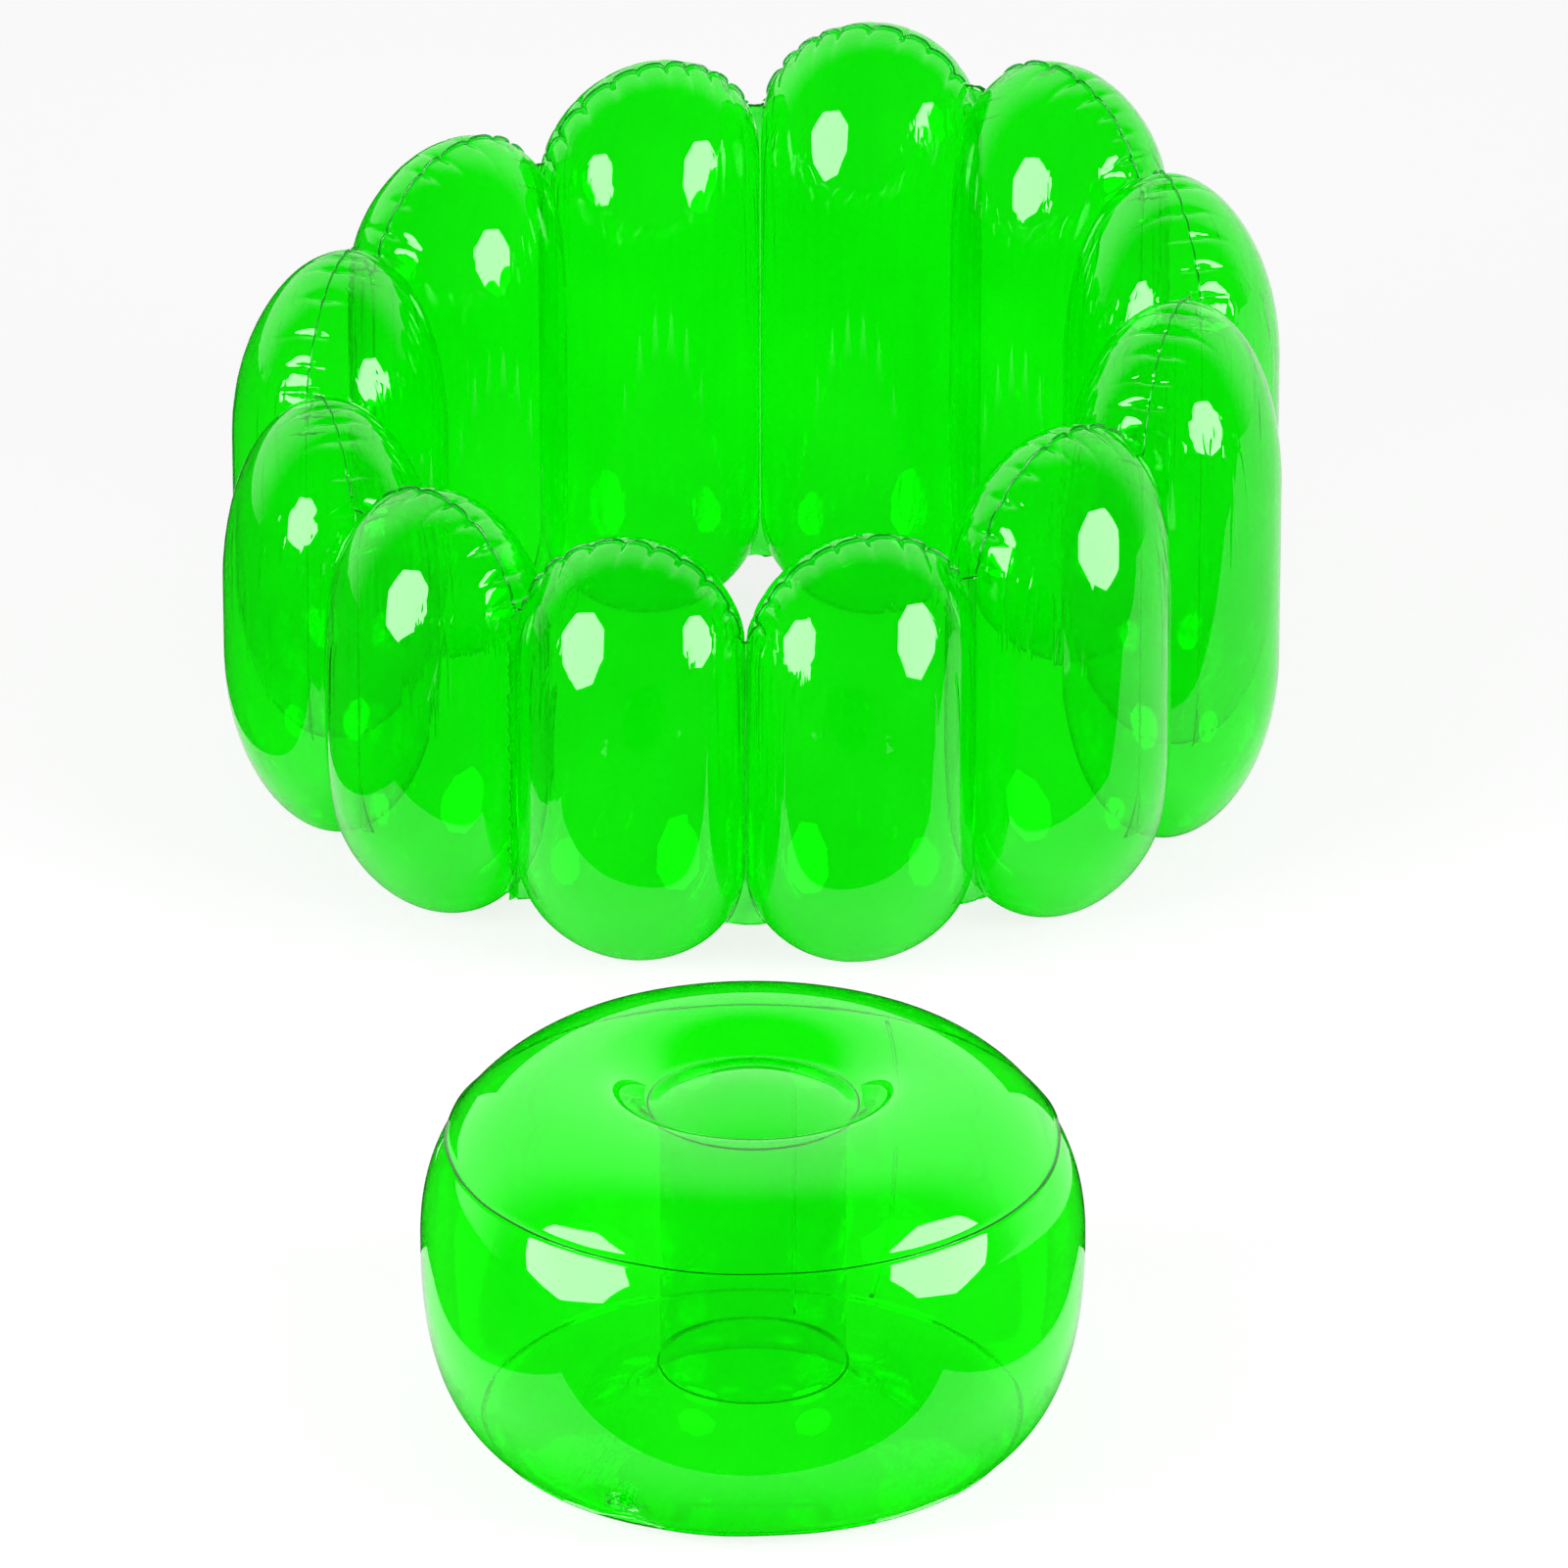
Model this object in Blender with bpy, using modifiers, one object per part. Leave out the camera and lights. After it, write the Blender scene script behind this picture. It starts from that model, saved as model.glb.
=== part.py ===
"""Inflatable armchair of clear green film: a ring of twelve upright petals and a round seat pouf.

Lengths are in metres and +Z is up. The ring and the seat stand side by side on the plane Z = 0,
with the seat in front of the ring (at -Y), and the origin lies midway between their far ends.
"""

import math

import bmesh
import bpy
from mathutils import Matrix, Vector

# Film, welds and clearances
film_thickness = 0.0004
clearance = 0.0003
weld_lip = 0.004
foot_cut = 0.0005
cutter_overrun = 0.010

# Ring of petals. A petal stands on a weld plane, and ring_apothem is that plane's distance from the axis.
# Two weld planes meet in a corner, and each petal stops seam_half_gap short of it.
petal_count = 12
ring_apothem = 0.430
ring_turn_angle = math.radians(16)
seam_half_gap = 0.005718
petal_half_depth = 0.108
petal_heights = (0.643, 0.598, 0.556, 0.507, 0.446, 0.441)
petal_bottom_width_end = 0.105
petal_bottom_depth_end = 0.190
petal_top_width_end = 0.115
petal_top_depth_end = 0.150
petal_segments = 14
petal_level_angles = tuple(math.radians(angle) for angle in (20, 42, 66, 90))

# Weld margins between the petals
web_bottom_height = 0.045
web_drop = 0.085
closing_fin_depth = 0.012
closing_seam = 6

# Air passages through the films of neighbouring petals
passage_radius = 0.004
passage_height = 0.230

# Seat pouf: radii from its axis, heights above the floor, insets in from its widest line and drops
# below its crest
seat_distance = 1.42
seat_segments = 20
seat_height = 0.360
seat_radius = 0.305
seat_widest_height = 0.195
seat_crest_radius = 0.150
top_weld_inset = 0.025
bottom_weld_inset = 0.058
foot_inset = 0.110
seat_top_exponent = 2.2
seat_side_exponent = 2.5
crest_to_weld_shares = (0.4, 0.72)
weld_to_widest_share = 0.75
widest_to_weld_share = 0.66
ring_to_crest_angles = (math.radians(30), math.radians(62))
foot_to_ring_angles = (math.radians(58), math.radians(28))
dome_shares = (0.0, 0.5, 1.0)
top_ring_radius = 0.0955
top_ring_drop = 0.032
top_dome_drop = 0.008
bottom_ring_radius = 0.0855
bottom_ring_height = 0.063
bottom_dome_height = 0.045
tube_radius = 0.0855
tube_flare_length = 0.030

# Valves. Outwards is away from the film, and the sizes are alike on the ring and the seat.
valve_flange_radius = 0.018
valve_flange_thickness = 0.0012
valve_bore_radius = 0.0085
valve_collar_wall = 0.0015
valve_collar_length = 0.006
valve_travel = 0.010
stem_bore_radius = 0.005
stem_head_radius = 0.0105
stem_head_thickness = 0.0014
stem_stop_reach = 0.0010
stem_stop_thickness = 0.0015
flap_overlap = 0.0012
flap_thickness = 0.0008
stopper_head_radius = 0.0085
stopper_head_thickness = 0.0016
stopper_length = 0.008
strap_radius = 0.0007
strap_bend_radius = 0.004
strap_steps = 6
valve_segments = 20
ring_valve_petal = 12
ring_valve_height = 0.215
seat_valve_segment = 13

# Finishes
film_finish = {"colour": (0.01, 0.80, 0.01), "roughness": 0.06, "alpha": 0.55}
weld_finish = {"colour": (0.01, 0.55, 0.02), "roughness": 0.15, "alpha": 0.75}
valve_finish = {"colour": (0.01, 0.60, 0.02), "roughness": 0.20, "alpha": 0.85}
smooth_angle = math.radians(50)

petal_pitch = 2 * math.pi / petal_count
corner_half_width = ring_apothem * math.tan(petal_pitch / 2)
corner_radius = ring_apothem / math.cos(petal_pitch / 2)
petal_half_width = corner_half_width - seam_half_gap
margin_thickness = 2 * film_thickness
top_weld_radius = seat_radius - top_weld_inset
bottom_weld_radius = seat_radius - bottom_weld_inset
foot_radius = seat_radius - foot_inset
top_ring_height = seat_height - top_ring_drop
top_dome_height = seat_height - top_dome_drop


def clear_scene():
    for obj in list(bpy.data.objects):
        bpy.data.objects.remove(obj, do_unlink=True)


def new_collection(name):
    collection = bpy.data.collections.new(name)
    bpy.context.scene.collection.children.link(collection)
    return collection


def new_material(name, finish):
    material = bpy.data.materials.new(name)
    material.use_nodes = True
    shader = material.node_tree.nodes["Principled BSDF"]
    shader.inputs["Base Color"].default_value = (*finish["colour"], 1.0)
    shader.inputs["Roughness"].default_value = finish["roughness"]
    shader.inputs["Metallic"].default_value = 0.0
    shader.inputs["Alpha"].default_value = finish["alpha"]
    material.diffuse_color = (*finish["colour"], finish["alpha"])
    return material


def add_part(name, mesh, matrix, finish):
    part = bpy.data.objects.new(name, mesh)
    part.matrix_world = matrix
    part.data.materials.append(new_material(name + "_material", finish))
    parts.objects.link(part)
    return part


def mesh_from(name, points, edges=(), faces=()):
    mesh = bpy.data.meshes.new(name)
    mesh.from_pydata(points, edges, faces)
    mesh.update()
    return mesh


def shade_smooth(mesh):
    mesh.shade_smooth()
    mesh.set_sharp_from_angle(angle=smooth_angle)


def add_solidify(part, thickness, offset):
    shell = part.modifiers.new("film", "SOLIDIFY")
    shell.thickness = thickness
    shell.offset = offset
    shell.use_even_offset = True


def add_turned(name, profile, matrix, finish, segments, closed=False):
    """A profile of (radius, height) turned about the local Z axis. Its outer side runs downwards."""
    points = [(radius, 0, height) for radius, height in profile]
    edges = [(i, i + 1) for i in range(len(points) - 1)]
    if closed:
        edges.append((len(points) - 1, 0))
    part = add_part(name, mesh_from(name, points, edges), matrix, finish)
    turn = part.modifiers.new("turn", "SCREW")
    turn.axis = "Z"
    turn.angle = 2 * math.pi
    turn.steps = segments
    turn.render_steps = segments
    turn.use_merge_vertices = True
    turn.merge_threshold = 0.00001
    turn.use_smooth_shade = True
    return part


def add_cutter(name, radius, length, matrix, sides):
    shape = bmesh.new()
    bmesh.ops.create_cone(
        shape, cap_ends=True, segments=sides, radius1=radius, radius2=radius, depth=length
    )
    mesh = bpy.data.meshes.new(name)
    shape.to_mesh(mesh)
    shape.free()
    cutter = bpy.data.objects.new(name, mesh)
    cutter.matrix_world = matrix
    cutter.hide_render = True
    cutter.display_type = "WIRE"
    cutters.objects.link(cutter)
    return cutter


def cut_with(part, cutter):
    cut = part.modifiers.new(cutter.name, "BOOLEAN")
    cut.operation = "DIFFERENCE"
    cut.solver = "EXACT"
    cut.object = cutter


def petal_height(number):
    """Heights run down both sides from the two tallest petals to the two lowest."""
    step = min(number - 1, petal_count - number)
    return petal_heights[step]


def end_factor(height, top, bottom_end, top_end):
    """How full a petal is at this height, from 0 at its two ends to 1 along its middle."""
    from_bottom = (height + foot_cut) / bottom_end
    from_top = (top - height) / top_end
    nearest = max(min(from_bottom, from_top, 1.0), 0.0)
    return math.sqrt(1 - (1 - nearest) ** 2)


def half_width(height, top):
    return petal_half_width * end_factor(height, top, petal_bottom_width_end, petal_top_width_end)


def half_depth(height, top):
    return petal_half_depth * end_factor(height, top, petal_bottom_depth_end, petal_top_depth_end)


def petal_levels(top):
    """Heights of the petal's rings of points, from its flat foot up to just under its crown."""
    rising = [petal_bottom_depth_end * (1 - math.cos(angle)) - foot_cut for angle in petal_level_angles]
    falling = [top - petal_top_depth_end * (1 - math.cos(angle)) for angle in petal_level_angles]
    return [0.0, *rising, *reversed(falling)]


def outline_width(height, top):
    """Half width of the faceted outline, which runs straight from level to level."""
    levels = [*petal_levels(top), top]
    for low, high in zip(levels, levels[1:]):
        if height <= high:
            share = (height - low) / (high - low)
            return half_width(low, top) * (1 - share) + half_width(high, top) * share
    return 0.0


def petal_turn(number):
    return (number - 1) * petal_pitch - ring_turn_angle


def petal_matrix(number):
    """Local X runs along the weld plane, local Y points outwards and local Z up."""
    return (
        Matrix.Translation((0, ring_centre_y, 0))
        @ Matrix.Rotation(petal_turn(number), 4, "Z")
        @ Matrix.Translation((0, ring_apothem, 0))
    )


def petal_facet_angle():
    return 2 * math.pi / petal_segments


def petal_reach():
    """How far the faceted ring reaches from its axis along Y, by its two petals nearest to that axis."""
    turn = petal_turn(1)
    corners = [
        (
            petal_half_width * math.cos(step * petal_facet_angle()),
            ring_apothem + petal_half_depth * math.sin(step * petal_facet_angle()),
        )
        for step in range(petal_segments)
    ]
    return max(x * math.sin(turn) + y * math.cos(turn) for x, y in corners)


def petal_mesh(name, top):
    """A ball whose rings of points move to the petal's levels, widths and depths."""
    levels = petal_levels(top)
    shape = bmesh.new()
    bmesh.ops.create_uvsphere(
        shape, u_segments=petal_segments, v_segments=len(levels) + 1, radius=1.0
    )
    for vert in shape.verts:
        ring = round((1 - math.acos(max(-1.0, min(1.0, vert.co.z))) / math.pi) * (len(levels) + 1))
        step = round(math.atan2(vert.co.y, vert.co.x) / petal_facet_angle())
        angle = step * petal_facet_angle()
        if ring == 0:
            vert.co = (0, 0, levels[0])
        elif ring > len(levels):
            vert.co = (0, 0, top)
        else:
            height = levels[ring - 1]
            across = half_width(height, top) * math.cos(angle)
            out = half_depth(height, top) * math.sin(angle)
            vert.co = (across, out, height)
    mesh = bpy.data.meshes.new(name)
    shape.to_mesh(mesh)
    shape.free()
    shade_smooth(mesh)
    return mesh


def add_petal(number):
    name = f"petal_{number:02d}"
    mesh = petal_mesh(name, petal_height(number))
    petal = add_part(name, mesh, petal_matrix(number), film_finish)
    add_solidify(petal, film_thickness, offset=-1)
    return petal


def web_top_height(number):
    """Top of the web between this petal and the next."""
    following = number % petal_count + 1
    return min(petal_height(number), petal_height(following)) - web_drop


def crown_rails(number):
    """Inner and outer edge of the fin over a petal's crown, from its -X side to its +X side."""
    top = petal_height(number)
    previous = (number - 2) % petal_count + 1
    start, end = web_top_height(number), web_top_height(previous) + clearance
    levels = [*petal_levels(top), top]
    climb = [level for level in levels if level > start + clearance]
    descent = [level for level in reversed(levels[:-1]) if level > end + clearance]
    path = [(-outline_width(level, top), level) for level in climb]
    path += [(outline_width(level, top), level) for level in descent]
    first = (-outline_width(start, top), start)
    last = (outline_width(end, top), end)
    inner, outer = [], []
    for before, here, after in zip([first, *path], path, [*path[1:], last]):
        along = (Vector(after) - Vector(before)).normalized()
        away = Vector((-along.y, along.x))
        inner.append(Vector(here) + away * clearance)
        outer.append(Vector(here) + away * (clearance + weld_lip))
    inner.append(Vector((last[0] + clearance, end)))
    outer.append(Vector((last[0] + clearance + weld_lip, end)))
    return inner, outer


def margin_mesh(name, number):
    """The web down the seam to the next petal, bent at the seam, with the fin over this petal's crown."""
    following = number % petal_count + 1
    top, next_top = petal_height(number), petal_height(following)
    low, high = web_bottom_height, web_top_height(number)
    inside = [level for level in petal_levels(top) + petal_levels(next_top) if low < level < high]
    rows = sorted({low, high, *inside})
    bend = Matrix.Rotation(petal_pitch, 2)
    corner = Vector((-corner_half_width, 0))
    points, faces = [], []
    for height in rows:
        across = outline_width(height, top) + clearance
        next_across = outline_width(height, next_top) + clearance
        beyond = corner + bend @ Vector((next_across - corner_half_width, 0))
        points += [
            (-across, 0, height),
            (-across - weld_lip, 0, height),
            (corner.x, corner.y, height),
            (beyond.x, beyond.y, height),
        ]
    columns = 4
    for row in range(len(rows) - 1):
        for column in range(columns - 1):
            start = row * columns + column
            faces.append((start, start + 1, start + columns + 1, start + columns))
    last_row = (len(rows) - 1) * columns
    previous_inner, previous_outer = last_row, last_row + 1
    for inner, outer in zip(*crown_rails(number)):
        points += [(inner.x, 0, inner.y), (outer.x, 0, outer.y)]
        next_inner, next_outer = len(points) - 2, len(points) - 1
        faces.append((previous_inner, previous_outer, next_outer, next_inner))
        previous_inner, previous_outer = next_inner, next_outer
    return mesh_from(name, points, faces=faces)


def add_margin(number):
    name = f"weld_margin_{number:02d}"
    margin = add_part(name, margin_mesh(name, number), petal_matrix(number), weld_finish)
    add_solidify(margin, margin_thickness, offset=0)


def add_closing_seam():
    """The upright fin where the ring's sheets meet end to end, standing out from the web behind it."""
    low, high = web_bottom_height, web_top_height(closing_seam)
    turn = petal_turn(closing_seam) + petal_pitch / 2
    inner = corner_radius + margin_thickness + clearance
    centre = Vector((0, inner + closing_fin_depth / 2, (low + high) / 2))
    shape = bmesh.new()
    bmesh.ops.create_cube(shape, size=1.0)
    size = (margin_thickness, closing_fin_depth, high - low)
    bmesh.ops.scale(shape, vec=size, verts=shape.verts)
    mesh = bpy.data.meshes.new("ring_closing_seam")
    shape.to_mesh(mesh)
    shape.free()
    matrix = (
        Matrix.Translation((0, ring_centre_y, 0))
        @ Matrix.Rotation(turn, 4, "Z")
        @ Matrix.Translation(centre)
    )
    add_part("ring_closing_seam", mesh, matrix, weld_finish)


def cut_air_passages(petals):
    """One bore through the two films that face each other at each seam but the closing one."""
    petal_gap = 2 * ring_apothem * math.sin(petal_pitch / 2) - 2 * petal_half_width
    length = petal_gap + 2 * cutter_overrun
    for number in range(1, petal_count + 1):
        if number == closing_seam:
            continue
        following = number % petal_count + 1
        seam_turn = petal_turn(number) + petal_pitch / 2
        matrix = (
            Matrix.Translation((0, ring_centre_y, 0))
            @ Matrix.Rotation(seam_turn, 4, "Z")
            @ Matrix.Translation((0, ring_apothem * math.cos(petal_pitch / 2), passage_height))
            @ Matrix.Rotation(math.pi / 2, 4, "Y")
        )
        cutter = add_cutter(f"air_passage_{number:02d}", passage_radius, length, matrix, sides=8)
        cut_with(petals[number], cutter)
        cut_with(petals[following], cutter)


def seat_matrix():
    return Matrix.Translation((0, seat_centre_y, 0))


def upper_curve(radius):
    """Height of the seat's upper side between its crest and its widest line."""
    out = (radius - seat_crest_radius) / (seat_radius - seat_crest_radius)
    full = (1 - out**seat_top_exponent) ** (1 / seat_top_exponent)
    return seat_widest_height + (seat_height - seat_widest_height) * full


def lower_curve(radius):
    """Height of the seat's lower side between its foot and its widest line."""
    out = (radius - foot_radius) / foot_inset
    full = (1 - out**seat_side_exponent) ** (1 / seat_side_exponent)
    return max(seat_widest_height - (seat_widest_height + foot_cut) * full, 0.0)


def foot_half_width():
    """Half the width of the flat ring that the seat stands on."""
    drop = foot_cut / (seat_widest_height + foot_cut)
    out = (1 - (1 - drop) ** seat_side_exponent) ** (1 / seat_side_exponent)
    return foot_inset * out


def between(start, end, share):
    return start + (end - start) * share


def dome_points(ring_radius, ring_height, centre_height, shares):
    """Points of a shallow dome, from its centre at share 0 to its weld ring at share 1."""
    return [
        (ring_radius * share, between(centre_height, ring_height, share**2)) for share in shares
    ]


def rise_points(inner_radius, inner_height, outer_radius, outer_height, angles):
    """Points of a quarter oval that climbs steeply from the inner radius and levels off at the outer."""
    return [
        (
            between(outer_radius, inner_radius, math.cos(angle)),
            between(inner_height, outer_height, math.sin(angle)),
        )
        for angle in angles
    ]


top_weld_height = upper_curve(top_weld_radius)
bottom_weld_height = lower_curve(bottom_weld_radius)
weld_step = 2 * film_thickness + clearance


def top_panel_profile():
    crest_radii = [
        between(seat_crest_radius, top_weld_radius, share) for share in crest_to_weld_shares
    ]
    land = top_ring_radius + weld_lip
    return [
        *dome_points(top_ring_radius, top_ring_height, top_dome_height, dome_shares),
        (land, top_ring_height),
        *rise_points(land, top_ring_height, seat_crest_radius, seat_height, ring_to_crest_angles),
        (seat_crest_radius, seat_height),
        *[(radius, upper_curve(radius)) for radius in crest_radii],
        (top_weld_radius, top_weld_height),
        (top_weld_radius + weld_lip, top_weld_height),
    ]


def side_band_profile():
    upper = between(top_weld_radius, seat_radius, weld_to_widest_share)
    lower = between(bottom_weld_radius, seat_radius, widest_to_weld_share)
    start = top_weld_height - weld_step
    return [
        (top_weld_radius + weld_lip, start),
        (top_weld_radius, start),
        (upper, upper_curve(upper) - weld_step),
        (seat_radius, seat_widest_height),
        (lower, lower_curve(lower)),
        (bottom_weld_radius, bottom_weld_height),
        (bottom_weld_radius + weld_lip, bottom_weld_height),
    ]


def bottom_panel_profile():
    start = bottom_weld_height - weld_step
    foot = foot_half_width()
    land = bottom_ring_radius + weld_lip
    inner_foot = foot_radius - foot
    dome = dome_points(bottom_ring_radius, bottom_ring_height, bottom_dome_height, dome_shares)
    return [
        (bottom_weld_radius + weld_lip, start),
        (bottom_weld_radius, start),
        (foot_radius + foot, 0.0),
        (inner_foot, 0.0),
        *rise_points(land, bottom_ring_height, inner_foot, 0.0, foot_to_ring_angles),
        (land, bottom_ring_height),
        *reversed(dome),
    ]


def tie_tube_profile():
    top = top_ring_height - film_thickness - clearance - film_thickness
    bottom = bottom_ring_height + film_thickness + clearance + film_thickness
    return [
        (top_ring_radius + weld_lip, top),
        (top_ring_radius, top),
        (tube_radius, top - tube_flare_length),
        (tube_radius, bottom),
        (tube_radius + weld_lip, bottom),
    ]


def add_seat_film(name, profile):
    film = add_turned(name, profile, seat_matrix(), film_finish, seat_segments)
    add_solidify(film, film_thickness, offset=-1)
    return film


def add_seat():
    add_seat_film("seat_top_panel", top_panel_profile())
    band = add_seat_film("seat_side_band", side_band_profile())
    add_seat_film("seat_bottom_panel", bottom_panel_profile())
    add_seat_film("seat_tie_tube", tie_tube_profile())
    return band


def ring_valve_matrix():
    """On the flat facet at the petal's outermost side. Local Z points out of the film, local X along it."""
    facet_depth = petal_half_depth * math.cos(petal_facet_angle() / 2)
    return (
        petal_matrix(ring_valve_petal)
        @ Matrix.Translation((0, facet_depth, ring_valve_height))
        @ Matrix.Rotation(-math.pi / 2, 4, "X")
    )


def seat_valve_matrix():
    """On the middle of the band's lowest facet. Local Z points out of the film, local X along it."""
    narrowing = math.cos(math.pi / seat_segments)
    (r1, z1), (r2, z2) = side_band_profile()[-3:-1]
    centre = Vector(((r1 + r2) / 2 * narrowing, 0, (z1 + z2) / 2))
    outwards = Vector((z1 - z2, 0, (r2 - r1) * narrowing)).normalized()
    across = Vector((0, 1, 0))
    facing = Matrix((across, outwards.cross(across), outwards)).transposed().to_4x4()
    azimuth = (seat_valve_segment + 0.5) * 2 * math.pi / seat_segments
    return (
        seat_matrix() @ Matrix.Rotation(azimuth, 4, "Z") @ Matrix.Translation(centre) @ facing
    )


def strap_points(low, high):
    """A half loop beside the valve, from the stem's head up to the stopper's head."""
    middle, half = (low + high) / 2, (high - low) / 2
    start, end = stem_head_radius + clearance, stopper_head_radius + clearance
    bend_start = stem_head_radius + strap_bend_radius
    bend_angles = [math.pi * step / strap_steps for step in range(strap_steps + 1)]
    bend = [
        (
            bend_start + strap_bend_radius * math.sin(angle),
            middle - half * math.cos(angle),
        )
        for angle in bend_angles
    ]
    return [(start, low), *bend, (end, high)]


def add_strap(name, matrix, low, high):
    points = strap_points(low, high)
    curve = bpy.data.curves.new(name, "CURVE")
    curve.dimensions = "3D"
    curve.bevel_depth = strap_radius
    curve.bevel_resolution = 1
    curve.use_fill_caps = True
    spline = curve.splines.new("POLY")
    spline.points.add(len(points) - 1)
    for point, (out, height) in zip(spline.points, points):
        point.co = (out, 0, height, 1)
    add_part(name, curve, matrix, valve_finish)


def add_valve(prefix, film, matrix):
    """Base, stem, flap, stopper and strap of one valve, with its hole in the film."""
    collar_radius = valve_bore_radius + valve_collar_wall
    flange_bottom = clearance
    flange_top = flange_bottom + valve_flange_thickness
    add_turned(
        prefix + "_valve_base",
        [
            (valve_bore_radius, flange_top),
            (valve_flange_radius, flange_top),
            (valve_flange_radius, flange_bottom),
            (collar_radius, flange_bottom),
            (collar_radius, -valve_collar_length),
            (valve_bore_radius, -valve_collar_length),
        ],
        matrix,
        valve_finish,
        valve_segments,
        closed=True,
    )
    head_bottom = flange_top + clearance
    head_top = head_bottom + stem_head_thickness
    stop_top = -valve_collar_length - valve_travel - clearance
    stem_end = stop_top - stem_stop_thickness
    stem_radius = valve_bore_radius - clearance
    stop_radius = valve_bore_radius + stem_stop_reach
    add_turned(
        prefix + "_valve_stem",
        [
            (stem_bore_radius, head_top),
            (stem_head_radius, head_top),
            (stem_head_radius, head_bottom),
            (stem_radius, head_bottom),
            (stem_radius, stop_top),
            (stop_radius, stop_top),
            (stop_radius, stem_end),
            (stem_bore_radius, stem_end),
        ],
        matrix,
        valve_finish,
        valve_segments,
        closed=True,
    )
    flap_radius = stem_bore_radius + flap_overlap
    hinge = Matrix.Translation((flap_radius, 0, stem_end - clearance))
    flap_shape = bmesh.new()
    bmesh.ops.create_cone(
        flap_shape,
        cap_ends=True,
        segments=valve_segments,
        radius1=flap_radius,
        radius2=flap_radius,
        depth=flap_thickness,
        matrix=Matrix.Translation((-flap_radius, 0, -flap_thickness / 2)),
    )
    flap_mesh = bpy.data.meshes.new(prefix + "_valve_flap")
    flap_shape.to_mesh(flap_mesh)
    flap_shape.free()
    add_part(prefix + "_valve_flap", flap_mesh, matrix @ hinge, valve_finish)
    stopper_bottom = head_top + clearance
    stopper_top = stopper_bottom + stopper_head_thickness
    plug_radius = stem_bore_radius - clearance
    add_turned(
        prefix + "_valve_stopper",
        [
            (0, stopper_top),
            (stopper_head_radius, stopper_top),
            (stopper_head_radius, stopper_bottom),
            (plug_radius, stopper_bottom),
            (plug_radius, stopper_bottom - stopper_length),
            (0, stopper_bottom - stopper_length),
        ],
        matrix,
        valve_finish,
        valve_segments,
    )
    add_strap(
        prefix + "_valve_strap",
        matrix,
        (head_bottom + head_top) / 2,
        (stopper_bottom + stopper_top) / 2,
    )
    hole = add_cutter(
        prefix + "_valve_hole",
        collar_radius + clearance,
        2 * cutter_overrun,
        matrix,
        sides=valve_segments,
    )
    cut_with(film, hole)


clear_scene()
parts = new_collection("inflatable_chair")
cutters = new_collection("cutters")

# The origin is midway between the seat's front and the ring's back
ring_centre_y = (seat_distance + seat_radius - petal_reach()) / 2
seat_centre_y = ring_centre_y - seat_distance

petals = {number: add_petal(number) for number in range(1, petal_count + 1)}
for number in range(1, petal_count + 1):
    add_margin(number)
add_closing_seam()
cut_air_passages(petals)
seat_band = add_seat()
add_valve("ring", petals[ring_valve_petal], ring_valve_matrix())
add_valve("seat", seat_band, seat_valve_matrix())
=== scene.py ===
import math
import random

import bmesh
import bpy
from mathutils import Matrix, Vector, noise


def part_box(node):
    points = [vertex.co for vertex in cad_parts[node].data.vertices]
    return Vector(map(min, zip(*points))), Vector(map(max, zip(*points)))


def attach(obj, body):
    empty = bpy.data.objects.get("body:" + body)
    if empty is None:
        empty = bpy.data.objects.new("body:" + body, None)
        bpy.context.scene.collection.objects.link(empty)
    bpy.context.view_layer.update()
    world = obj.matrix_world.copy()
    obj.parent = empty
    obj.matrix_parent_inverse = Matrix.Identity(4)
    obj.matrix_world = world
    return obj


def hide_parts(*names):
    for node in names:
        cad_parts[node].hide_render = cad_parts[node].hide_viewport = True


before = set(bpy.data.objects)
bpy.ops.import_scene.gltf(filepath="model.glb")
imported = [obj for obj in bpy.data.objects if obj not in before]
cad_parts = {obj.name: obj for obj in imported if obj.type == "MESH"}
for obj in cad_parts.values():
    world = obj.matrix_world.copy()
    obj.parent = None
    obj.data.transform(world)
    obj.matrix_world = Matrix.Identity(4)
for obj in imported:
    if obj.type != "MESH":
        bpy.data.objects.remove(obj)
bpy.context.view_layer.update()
scene = bpy.context.scene
scene.view_settings.view_transform = "Standard"
# light passes up to a dozen films on its way through the chair, two faces each
scene.cycles.max_bounces = 40
scene.cycles.transmission_bounces = 40
scene.cycles.transparent_max_bounces = 40
scene.cycles.glossy_bounces = 8
print("frame loaded:", len(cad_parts), "nodes")


def pickNone():
    bpy.ops.object.select_all(action="DESELECT")


def pick(piece):
    pickNone()
    piece.select_set(True)
    bpy.context.view_layer.objects.active = piece


def applyAll(piece):
    pick(piece)
    for modifier in list(piece.modifiers):
        bpy.ops.object.modifier_apply(modifier=modifier.name)


def filmWall(piece, thickness, offset):
    wall = piece.modifiers.new("filmWall", "SOLIDIFY")
    wall.thickness = thickness
    wall.offset = offset
    wall.use_even_offset = True
    applyAll(piece)


def smoothStep(low, high, value):
    share = min(max((value - low) / (high - low), 0.0), 1.0)
    return share * share * (3 - 2 * share)


def mix(start, end, share):
    return start + (end - start) * share


cameraView = {
    "distance": 16.0,
    "elevation": math.radians(24),
    "target": (0.0, 0.601864, 0.25),
    "targetPixel": (769, 560),
    "framePixels": 1601,
    "focalPixels": 16394,
    "sensor": 36.0,
}


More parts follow.
